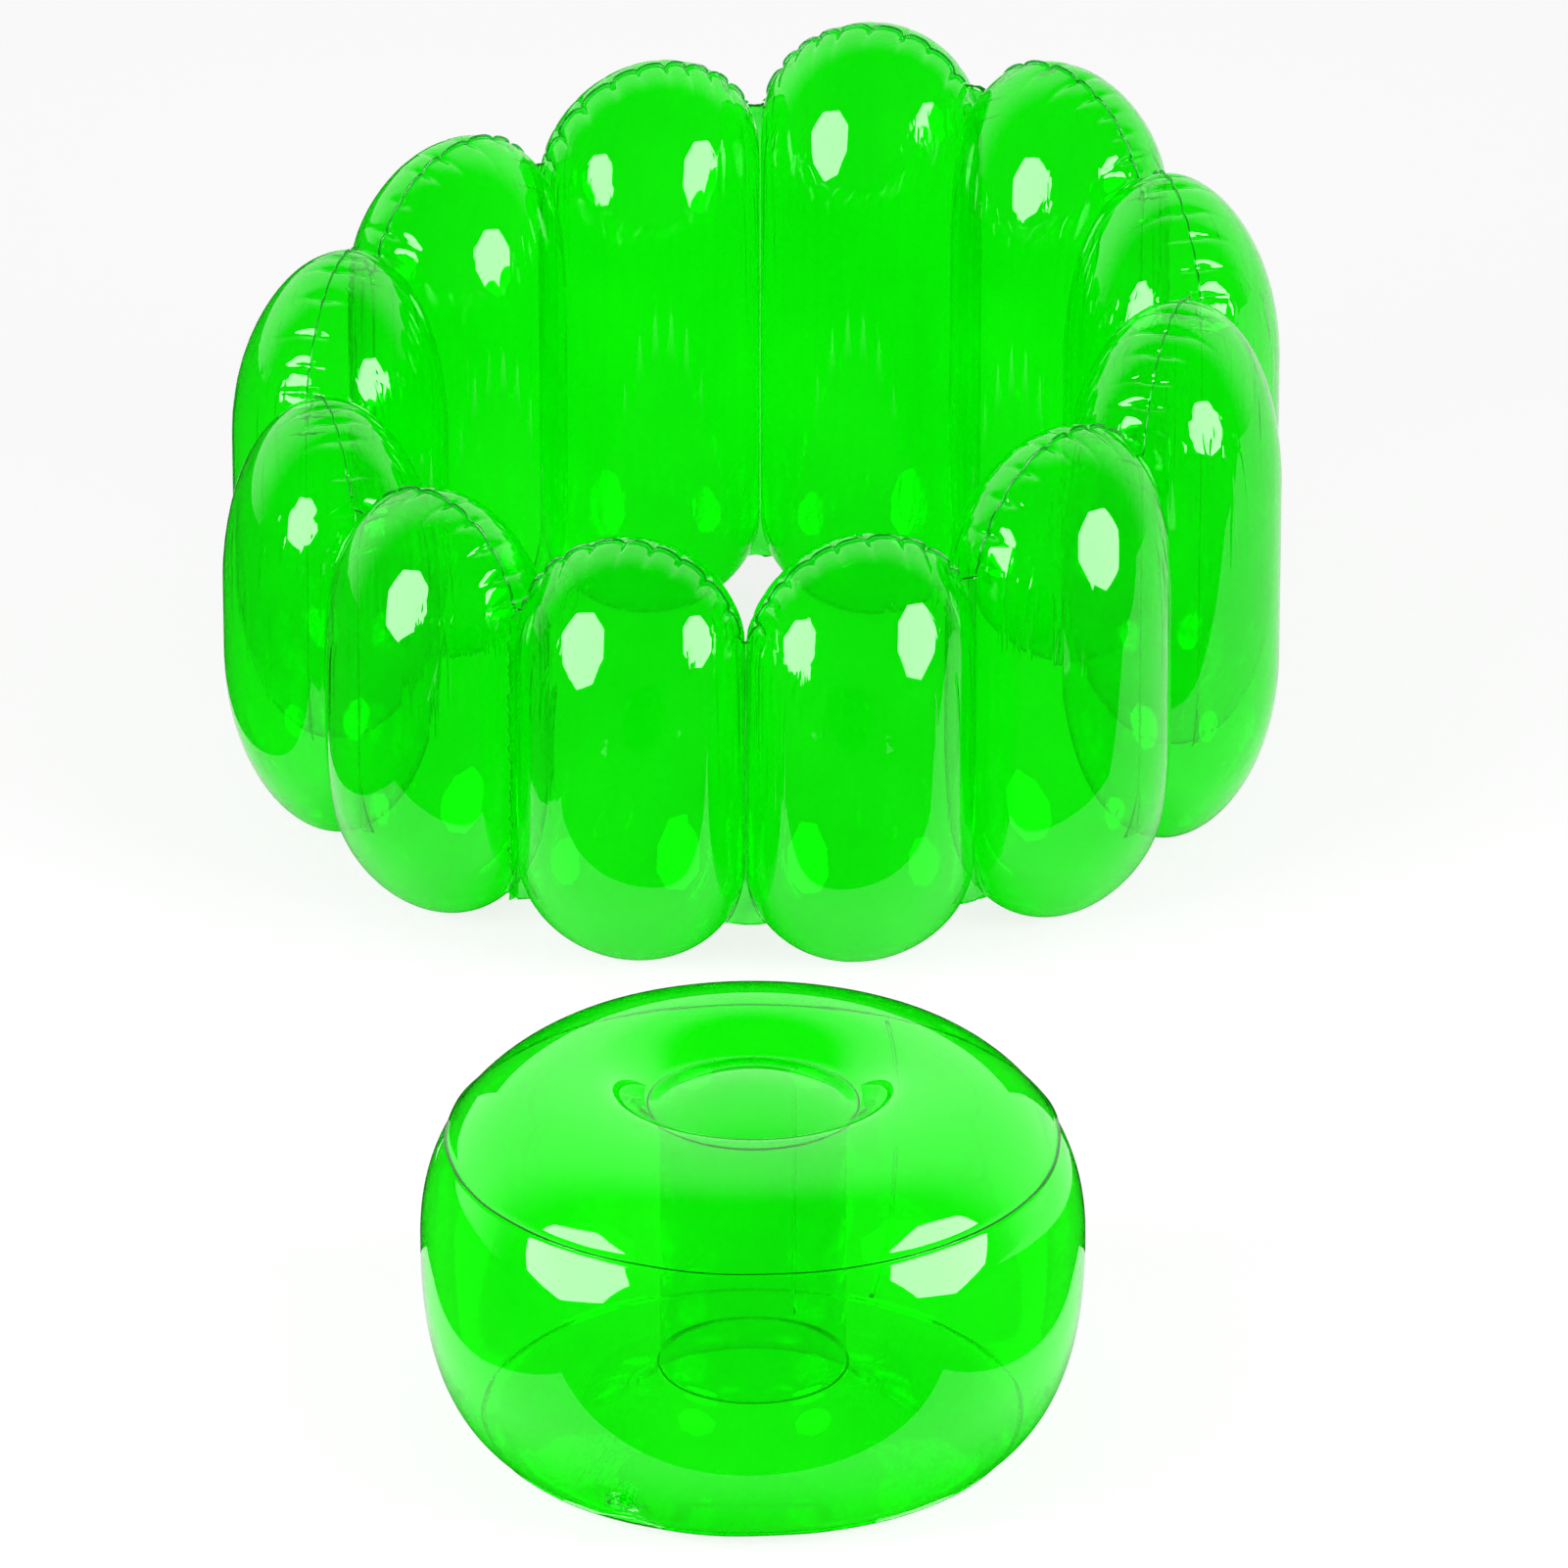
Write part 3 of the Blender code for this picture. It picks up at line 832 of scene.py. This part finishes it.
# the ruffled fin where the ring's sheets meet end to end
closing = {
    "seam": 6,
    "root": 0.0022,
    "depth": 0.0130,
    "bottomGap": 0.003,
    "topGap": 0.002,
    "rows": 290,
    "columns": 8,
    "ruffle": 0.0025,
    "pitch": 0.011,
    "crumplePitch": 0.0052,
    "slowPitch": 0.06,
    "shares": (1.5, 0.9, 0.6),
    "edgeWave": 0.0016,
    "acrossRate": (0.7, 2.0),
    "seeds": (4.2, 7.7, 9.1, 1.3),
}


def addClosingSeam():
    low = web["bottom"] + closing["bottomGap"]
    high = webTop(closing["seam"]) - closing["topGap"]
    place = petalPlace(closing["seam"])
    corner = place @ Vector((-cornerHalfWidth, 0, 0))
    outward = Vector((corner.x, corner.y - ring["centreY"], 0)).normalized()
    sideways = Vector((-outward.y, outward.x, 0))

    def finPlace(row, column):
        height = mix(low, high, row / (closing["rows"] - 1))
        out = column / (closing["columns"] - 1)
        seeds, rate, shares = closing["seeds"], closing["acrossRate"], closing["shares"]
        ruffle = noise.noise(Vector((height / closing["pitch"], seeds[0], out * rate[0])))
        crumple = noise.noise(Vector((height / closing["crumplePitch"], seeds[1], out * rate[1])))
        slow = noise.noise(Vector((height / closing["slowPitch"], seeds[2], 0.0)))
        edge = noise.noise(Vector((height / closing["pitch"], seeds[3], 0.0)))
        bent = shares[0] * ruffle + shares[1] * crumple + shares[2] * slow
        shift = closing["ruffle"] * bent * out
        depth = closing["root"] + closing["depth"] * out + closing["edgeWave"] * edge * out
        return corner + outward * depth + sideways * shift + Vector((0, 0, height))

    fin = gridPiece("closingSeam", closing["rows"], closing["columns"], finPlace)
    dress(fin, "greenWeb")
    filmWall(fin, vinyl["weld"], 0)
    bpy.ops.object.shade_smooth()
    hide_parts("ring_closing_seam")
    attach(fin, "ring")


addClosingSeam()
print("closing seam made")

# the seat pouf, as radii from its axis and heights above the floor
pouf = {
    "centreY": -0.818136,
    "height": 0.360,
    "radius": 0.305,
    "widestHeight": 0.195,
    "crestRadius": 0.150,
    "topWeldRadius": 0.280,
    "bottomWeldRadius": 0.247,
    "footRadius": 0.195,
    "topExponent": 2.2,
    "sideExponent": 2.5,
    "topRingRadius": 0.0955,
    "topRingHeight": 0.328,
    "topDomeHeight": 0.352,
    "bottomRingRadius": 0.0855,
    "bottomRingHeight": 0.063,
    "bottomDomeHeight": 0.045,
    "tubeRadius": 0.0855,
    "tubeFlare": 0.034,
    "lip": 0.0024,
    "footCut": 0.0005,
    "segments": 200,
    "mergeDistance": 0.00001,
}

# how many steps each stretch of the seat's outline has
poufSteps = {
    "dome": 12,
    "dip": 14,
    "crest": 26,
    "bandAbove": 18,
    "bandBelow": 24,
    "bottomEdge": 14,
    "bottomDip": 14,
    "flare": 8,
    "tube": 24,
}


def upperHeight(radius):
    out = (radius - pouf["crestRadius"]) / (pouf["radius"] - pouf["crestRadius"])
    full = max(1 - max(out, 0.0) ** pouf["topExponent"], 0.0) ** (1 / pouf["topExponent"])
    return pouf["widestHeight"] + (pouf["height"] - pouf["widestHeight"]) * full


def lowerHeight(radius):
    out = (radius - pouf["footRadius"]) / (pouf["radius"] - pouf["footRadius"])
    full = max(1 - max(out, 0.0) ** pouf["sideExponent"], 0.0) ** (1 / pouf["sideExponent"])
    return max(pouf["widestHeight"] - (pouf["widestHeight"] + pouf["footCut"]) * full, 0.0)


def curveRadii(inner, outer, start, end, exponent, steps):
    # radii between start and end that follow an oval corner evenly
    def angleOf(radius):
        share = min(max((radius - inner) / (outer - inner), 0.0), 1.0)
        return math.asin(share ** (exponent / 2))

    first, last = angleOf(start), angleOf(end)
    angles = [mix(first, last, step / steps) for step in range(steps + 1)]
    return [inner + (outer - inner) * math.sin(angle) ** (2 / exponent) for angle in angles]


def upperRadii(start, end, steps):
    return curveRadii(
        pouf["crestRadius"], pouf["radius"], start, end, pouf["topExponent"], steps
    )


def lowerRadii(start, end, steps):
    return curveRadii(
        pouf["footRadius"], pouf["radius"], start, end, pouf["sideExponent"], steps
    )


topWeldHeight = upperHeight(pouf["topWeldRadius"])
bottomWeldHeight = lowerHeight(pouf["bottomWeldRadius"])
weldStep = 2 * vinyl["film"] + vinyl["gap"]


def topPanelProfile():
    rise = pouf["topRingRadius"] + pouf["lip"]
    points = []
    for step in range(poufSteps["dome"] + 1):
        share = step / poufSteps["dome"]
        height = mix(pouf["topDomeHeight"], pouf["topRingHeight"], share**2)
        points.append((pouf["topRingRadius"] * share, height))
    for step in range(poufSteps["dip"] + 1):
        share = 1 - step / poufSteps["dip"]
        height = mix(pouf["height"], pouf["topRingHeight"], share**2)
        points.append((mix(pouf["crestRadius"], rise, share), height))
    radii = upperRadii(pouf["crestRadius"], pouf["topWeldRadius"], poufSteps["crest"])
    points += [(radius, upperHeight(radius)) for radius in radii[1:]]
    points.append((pouf["topWeldRadius"] + pouf["lip"], topWeldHeight))
    return points


def bandProfile():
    start = topWeldHeight - weldStep
    upper = upperRadii(pouf["topWeldRadius"], pouf["radius"], poufSteps["bandAbove"])
    lower = lowerRadii(pouf["radius"], pouf["bottomWeldRadius"], poufSteps["bandBelow"])
    points = [(pouf["topWeldRadius"] + pouf["lip"], start), (pouf["topWeldRadius"], start)]
    for radius in upper[1:]:
        fade = (pouf["radius"] - radius) / (pouf["radius"] - pouf["topWeldRadius"])
        points.append((radius, upperHeight(radius) - weldStep * fade))
    points += [(radius, lowerHeight(radius)) for radius in lower[1:]]
    points.append((pouf["bottomWeldRadius"] + pouf["lip"], bottomWeldHeight))
    return points


def bottomPanelProfile():
    start = bottomWeldHeight - weldStep
    drop = pouf["footCut"] / (pouf["widestHeight"] + pouf["footCut"])
    spread = pouf["radius"] - pouf["footRadius"]
    foot = spread * (1 - (1 - drop) ** pouf["sideExponent"]) ** (1 / pouf["sideExponent"])
    land = pouf["bottomRingRadius"] + pouf["lip"]
    inner = pouf["footRadius"] - foot
    points = [(pouf["bottomWeldRadius"] + pouf["lip"], start), (pouf["bottomWeldRadius"], start)]
    radii = lowerRadii(
        pouf["bottomWeldRadius"], pouf["footRadius"] + foot, poufSteps["bottomEdge"]
    )
    for radius in radii[1:]:
        fade = (radius - radii[-1]) / (radii[0] - radii[-1])
        points.append((radius, max(lowerHeight(radius) - weldStep * fade, 0.0)))
    points.append((inner, 0.0))
    for step in range(1, poufSteps["bottomDip"] + 1):
        angle = math.pi / 2 * (1 - step / poufSteps["bottomDip"])
        height = mix(pouf["bottomRingHeight"], 0.0, math.sin(angle))
        points.append((mix(inner, land, math.cos(angle)), height))
    for step in range(poufSteps["dome"] + 1):
        share = 1 - step / poufSteps["dome"]
        height = mix(pouf["bottomDomeHeight"], pouf["bottomRingHeight"], share**2)
        points.append((pouf["bottomRingRadius"] * share, height))
    return points


def tubeProfile():
    top, bottom = pouf["topRingHeight"] - weldStep, pouf["bottomRingHeight"] + weldStep
    points = [(pouf["topRingRadius"] + pouf["lip"], top)]
    for step in range(poufSteps["flare"] + 1):
        share = step / poufSteps["flare"]
        radius = mix(pouf["topRingRadius"], pouf["tubeRadius"], 1 - (1 - share) ** 2)
        points.append((radius, top - pouf["tubeFlare"] * share))
    for step in range(1, poufSteps["tube"] + 1):
        height = mix(top - pouf["tubeFlare"], bottom, step / poufSteps["tube"])
        points.append((pouf["tubeRadius"], height))
    points.append((pouf["tubeRadius"] + pouf["lip"], bottom))
    return points


# slight waves of the seat's films, all round it and beside its two welds
ripple = {
    "slow": 0.0016,
    "slowRate": (1.7, 4),
    "weld": 0.0007,
    "weldReach": 0.016,
    "weldRate": 26 / 6,
    "weldSeed": 3.0,
    "still": 0.02,
    "fade": (0.16, 0.24),
}


def rippled(point):
    # the same slight waves run through all films of the seat, so that they stay together
    radius = math.hypot(point.x, point.y)
    if radius < ripple["still"]:
        return point
    around = Vector((point.x / radius, point.y / radius, 0))
    flat, up = ripple["slowRate"]
    slow = noise.noise(Vector((around.x * flat, around.y * flat, point.z * up))) * ripple["slow"]
    near = math.exp(-(((point.z - topWeldHeight) / ripple["weldReach"]) ** 2))
    near += math.exp(-(((point.z - bottomWeldHeight) / ripple["weldReach"]) ** 2))
    rate = ripple["weldRate"]
    quick = noise.noise(Vector((around.x * rate, around.y * rate, ripple["weldSeed"])))
    quick *= ripple["weld"] * near
    return point + around * (slow + 2 * quick) * smoothStep(*ripple["fade"], radius)


def addTurned(name, profile, node):
    pickNone()
    mesh = bpy.data.meshes.new(name)
    points = [(radius, 0, height) for radius, height in profile]
    mesh.from_pydata(points, [(i, i + 1) for i in range(len(points) - 1)], [])
    piece = bpy.data.objects.new(name, mesh)
    scene.collection.objects.link(piece)
    turn = piece.modifiers.new("turn", "SCREW")
    turn.axis = "Z"
    turn.angle = 2 * math.pi
    turn.steps = turn.render_steps = pouf["segments"]
    turn.use_merge_vertices = True
    turn.merge_threshold = pouf["mergeDistance"]
    applyAll(piece)
    for vertex in piece.data.vertices:
        vertex.co = rippled(vertex.co)
        if name in seatValveFilms:
            vertex.co = seatValveSeat(vertex.co)
        vertex.co.y += pouf["centreY"]
    filmWall(piece, vinyl["film"], -1)
    bpy.ops.object.shade_smooth()
    # the tube takes the deeper tint, painted shade of the tube inside the seat
    dress(piece, "greenTubePaintedShade" if name == "tubeFilm" else "greenSeat")
    if name in seatValveFilms:
        cutHole(piece, seatValvePlace)
    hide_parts(node)
    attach(piece, "seat")
    return piece


# the seat's valve sits on the flat middle of one of the band's lowest facets
seatValve = {
    "facets": 20,
    "facet": 13,
    "lowerShare": 0.66,
}
seatValveFilms = ("bandFilm",)


def placeSeatValve():
    narrowing = math.cos(math.pi / seatValve["facets"])
    outer = mix(pouf["bottomWeldRadius"], pouf["radius"], seatValve["lowerShare"])
    r1, z1 = outer, lowerHeight(outer)
    r2, z2 = pouf["bottomWeldRadius"], bottomWeldHeight
    centre = Vector(((r1 + r2) / 2 * narrowing, 0, (z1 + z2) / 2))
    outwards = Vector((z1 - z2, 0, (r2 - r1) * narrowing)).normalized()
    across = Vector((0, 1, 0))
    facing = Matrix((across, outwards.cross(across), outwards)).transposed().to_4x4()
    azimuth = (seatValve["facet"] + 0.5) * 2 * math.pi / seatValve["facets"]
    return Matrix.Rotation(azimuth, 4, "Z") @ Matrix.Translation(centre) @ facing


seatValveLocal = placeSeatValve()
seatValvePlace = Matrix.Translation((0, pouf["centreY"], 0)) @ seatValveLocal
seatValveInverse = seatValveLocal.inverted()


def seatValveSeat(point):
    local = seatValveInverse @ point
    away = math.hypot(local.x, local.y)
    if away > valve["blend"] or abs(local.z) > valve["seatReach"]:
        return point
    share = 1 - smoothStep(valve["flat"], valve["blend"], away)
    local.z = mix(local.z, 0.0, share)
    return seatValveLocal @ local


panels = [
    addTurned("topFilm", topPanelProfile(), "seat_top_panel"),
    addTurned("bandFilm", bandProfile(), "seat_side_band"),
    addTurned("bottomFilm", bottomPanelProfile(), "seat_bottom_panel"),
]
addTurned("tubeFilm", tubeProfile(), "seat_tie_tube")

# narrow laps where the ends of the band and of the tube are welded over each other
lap = {
    "halfWidth": 0.0020,
    "columns": 3,
    "bandAngle": math.radians(64),
    "tubeAngle": math.radians(64),
}


def addLap(name, profile, azimuth):
    points = [Vector((radius, 0, height)) for radius, height in profile]

    def lapPlace(row, column):
        before, after = points[max(row - 1, 0)], points[min(row + 1, len(points) - 1)]
        along = (after - before).normalized()
        outward = Vector((-along.z, 0, along.x))
        point = points[row] + outward * (vinyl["gap"] + vinyl["film"] / 2)
        shift = lap["halfWidth"] * (2 * column / (lap["columns"] - 1) - 1)
        turn = Matrix.Rotation(azimuth + shift / point.x, 3, "Z")
        return rippled(turn @ point) + Vector((0, pouf["centreY"], 0))

    strip = gridPiece(name, len(points), lap["columns"], lapPlace)
    filmWall(strip, vinyl["film"], 0)
    bpy.ops.object.shade_smooth()
    dress(strip, "greenSeat")
    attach(strip, "seat")


addLap("bandLap", bandProfile()[2:-2], lap["bandAngle"])
addLap("tubeLap", tubeProfile()[2:-2], lap["tubeAngle"])
print("seat films made")


stage = {
    "floorSize": 120,
    "floorHeight": -0.0005,
    "cardHeight": -0.0003,
    "floorColour": 0.97,
    "shadowShare": 0.18,
    "shadowThrough": 0.20,
    "mirroredFloor": 0.85,
    # painted green light on the floor round the ring and the seat, seen in reflections alone
    "paintedGreenLight": (0.0, 0.35, 0.0),
    "paintedLightReach": {"ring": (0.42, 0.56), "seat": (0.26, 0.42)},
    "room": 0.45,
    "darkSide": 0.005,
    "wallFade": (0.02, 0.55),
    "flags": {
        "flagBetween": ((-60.0, -0.47), (60.0, -0.02)),
        "flagInFront": ((-60.0, -60.0), (60.0, -1.19)),
        "flagLeft": ((-60.0, -1.19), (-0.50, -0.47)),
        "flagRight": ((0.50, -1.19), (60.0, -0.47)),
        "flagBehindLeft": ((-60.0, -0.02), (-0.62, 60.0)),
    },
    "standingFlag": {"width": 0.8, "height": 0.42, "y": -0.45},
}


def paintedLightNear(tree, place, centreY, reach):
    # share of painted green light: 1 under a piece and 0 away from it
    away = addNode(tree, "ShaderNodeVectorMath", operation="DISTANCE")
    tree.links.new(place, away.inputs[0])
    away.inputs[1].default_value = (0, centreY, 0)
    return rangeNode(tree, away.outputs["Value"], *reach, start=1.0, end=0.0)


def floorMaterial():
    # white to the camera and through the films, with a share left for the shadow. A painted pool of
    # green light round the pieces, standing for light that comes through the chair, colours the
    # floor in reflections alone.
    material = bpy.data.materials.new("paleFloor")
    material.use_nodes = True
    tree = material.node_tree
    tree.nodes.clear()
    links = tree.links
    out = addNode(tree, "ShaderNodeOutputMaterial")
    path = addNode(tree, "ShaderNodeLightPath")
    place = addNode(tree, "ShaderNodeTexCoord").outputs["Object"]
    direct = mathNode(tree, "MULTIPLY", path.outputs["Is Camera Ray"], 1 - stage["shadowShare"])
    through = mathNode(
        tree, "MULTIPLY", path.outputs["Is Transmission Ray"], 1 - stage["shadowThrough"]
    )
    mirrored = mathNode(
        tree, "SUBTRACT", path.outputs["Is Glossy Ray"], path.outputs["Is Transmission Ray"]
    )
    share = mathNode(tree, "MAXIMUM", mathNode(tree, "MAXIMUM", direct, through), mirrored)
    reach = stage["paintedLightReach"]
    paintedLightShare = mathNode(
        tree,
        "MAXIMUM",
        paintedLightNear(tree, place, ring["centreY"], reach["ring"]),
        paintedLightNear(tree, place, pouf["centreY"], reach["seat"]),
    )
    dim = stage["mirroredFloor"]
    # the floor as seen in reflections: plain grey, with painted green light near the pieces
    floorWithPaintedLight = colourMix(tree, paintedLightShare, (dim, dim, dim, 1), (*stage["paintedGreenLight"], 1))
    colour = colourMix(tree, mirrored, (1, 1, 1, 1), floorWithPaintedLight)
    tone = stage["floorColour"]
    plain = addNode(tree, "ShaderNodeBsdfDiffuse", Color=(tone, tone, tone, 1))
    glow = addNode(tree, "ShaderNodeEmission", Strength=1.0)
    links.new(colour, glow.inputs["Color"])
    blend = addNode(tree, "ShaderNodeMixShader")
    links.new(share, blend.inputs["Fac"])
    links.new(plain.outputs[0], blend.inputs[1])
    links.new(glow.outputs[0], blend.inputs[2])
    links.new(blend.outputs[0], out.inputs["Surface"])
    return material


pickNone()
bpy.ops.mesh.primitive_plane_add(size=stage["floorSize"], location=(0, 0, stage["floorHeight"]))
floor = bpy.context.object
floor.name = "floor"
floor.data.materials.append(floorMaterial())


def glowMaterial(name, tone, strength):
    material = bpy.data.materials.new(name)
    material.use_nodes = True
    tree = material.node_tree
    tree.nodes.clear()
    glow = addNode(tree, "ShaderNodeEmission", Color=(tone, tone, tone, 1), Strength=strength)
    out = addNode(tree, "ShaderNodeOutputMaterial")
    tree.links.new(glow.outputs[0], out.inputs["Surface"])
    return material


def onlyMirrored(card):
    # a dark card that is seen in reflections alone
    card.data.materials.append(glowMaterial(card.name, stage["darkSide"], 1.0))
    card.visible_camera = False
    card.visible_diffuse = False
    card.visible_transmission = False
    card.visible_shadow = False


def addFlag(name, low, high):
    # a card on the floor, as photographers lay it round shiny things
    pickNone()
    centre = ((high[0] + low[0]) / 2, (high[1] + low[1]) / 2, stage["cardHeight"])
    bpy.ops.mesh.primitive_plane_add(size=1, location=centre)
    card = bpy.context.object
    card.name = name
    card.scale = (high[0] - low[0], high[1] - low[1], 1)
    onlyMirrored(card)


for name, corners in stage["flags"].items():
    addFlag(name, *corners)


def addStandingFlag(flag):
    # keeps the seat and the ring out of each other's reflections, as in two separate pictures
    pickNone()
    bpy.ops.mesh.primitive_plane_add(size=1, location=(0, flag["y"], flag["height"] / 2))
    card = bpy.context.object
    card.name = "standingFlag"
    card.rotation_euler.x = math.pi / 2
    card.scale = (flag["width"], flag["height"], 1)
    onlyMirrored(card)


addStandingFlag(stage["standingFlag"])


def addWorld():
    # a white wall behind the chair and a dark room in front of it, for reflections alone
    world = bpy.data.worlds.new("studio")
    scene.world = world
    world.use_nodes = True
    tree = world.node_tree
    tree.nodes.clear()
    links = tree.links
    out = addNode(tree, "ShaderNodeOutputWorld")
    path = addNode(tree, "ShaderNodeLightPath")
    direction = addNode(tree, "ShaderNodeSeparateXYZ")
    links.new(addNode(tree, "ShaderNodeTexCoord").outputs["Generated"], direction.inputs[0])
    wall = rangeNode(tree, direction.outputs["Y"], *stage["wallFade"], start=stage["darkSide"])
    room = addNode(tree, "ShaderNodeBackground", Color=(1, 1, 1, 1), Strength=stage["room"])
    mirrored = addNode(tree, "ShaderNodeBackground", Color=(1, 1, 1, 1))
    links.new(wall, mirrored.inputs["Strength"])
    white = addNode(tree, "ShaderNodeBackground", Color=(1, 1, 1, 1), Strength=1.0)
    inGloss = addNode(tree, "ShaderNodeMixShader")
    links.new(path.outputs["Is Glossy Ray"], inGloss.inputs["Fac"])
    links.new(room.outputs[0], inGloss.inputs[1])
    links.new(mirrored.outputs[0], inGloss.inputs[2])
    direct, through = path.outputs["Is Camera Ray"], path.outputs["Is Transmission Ray"]
    seen = mathNode(tree, "MAXIMUM", direct, through)
    blend = addNode(tree, "ShaderNodeMixShader")
    links.new(seen, blend.inputs["Fac"])
    links.new(inGloss.outputs[0], blend.inputs[1])
    links.new(white.outputs[0], blend.inputs[2])
    links.new(blend.outputs[0], out.inputs["Surface"])


addWorld()

softbox = {
    "corners": 8,
    "size": 3.0,
    "distance": 4.2,
    "radiance": 11.0,
    "aim": (0, 0, 0.25),
    "places": {"leftSoftbox": (-56, 18), "rightSoftbox": (60, 18)},
}


def addSoftbox(name, azimuth, elevation):
    az, el = math.radians(azimuth), math.radians(elevation)
    direction = Vector((math.sin(az) * math.cos(el), -math.cos(az) * math.cos(el), math.sin(el)))
    pickNone()
    bpy.ops.mesh.primitive_circle_add(
        vertices=softbox["corners"], radius=softbox["size"] / 2, fill_type="NGON"
    )
    panel = bpy.context.object
    panel.name = name
    panel.location = Vector(softbox["aim"]) + direction * softbox["distance"]
    panel.rotation_euler = direction.to_track_quat("Z", "Y").to_euler()
    panel.data.materials.append(glowMaterial(name, 1.0, softbox["radiance"]))
    panel.visible_camera = False
    panel.visible_shadow = False


for name, place in softbox["places"].items():
    addSoftbox(name, *place)
print("stage made")
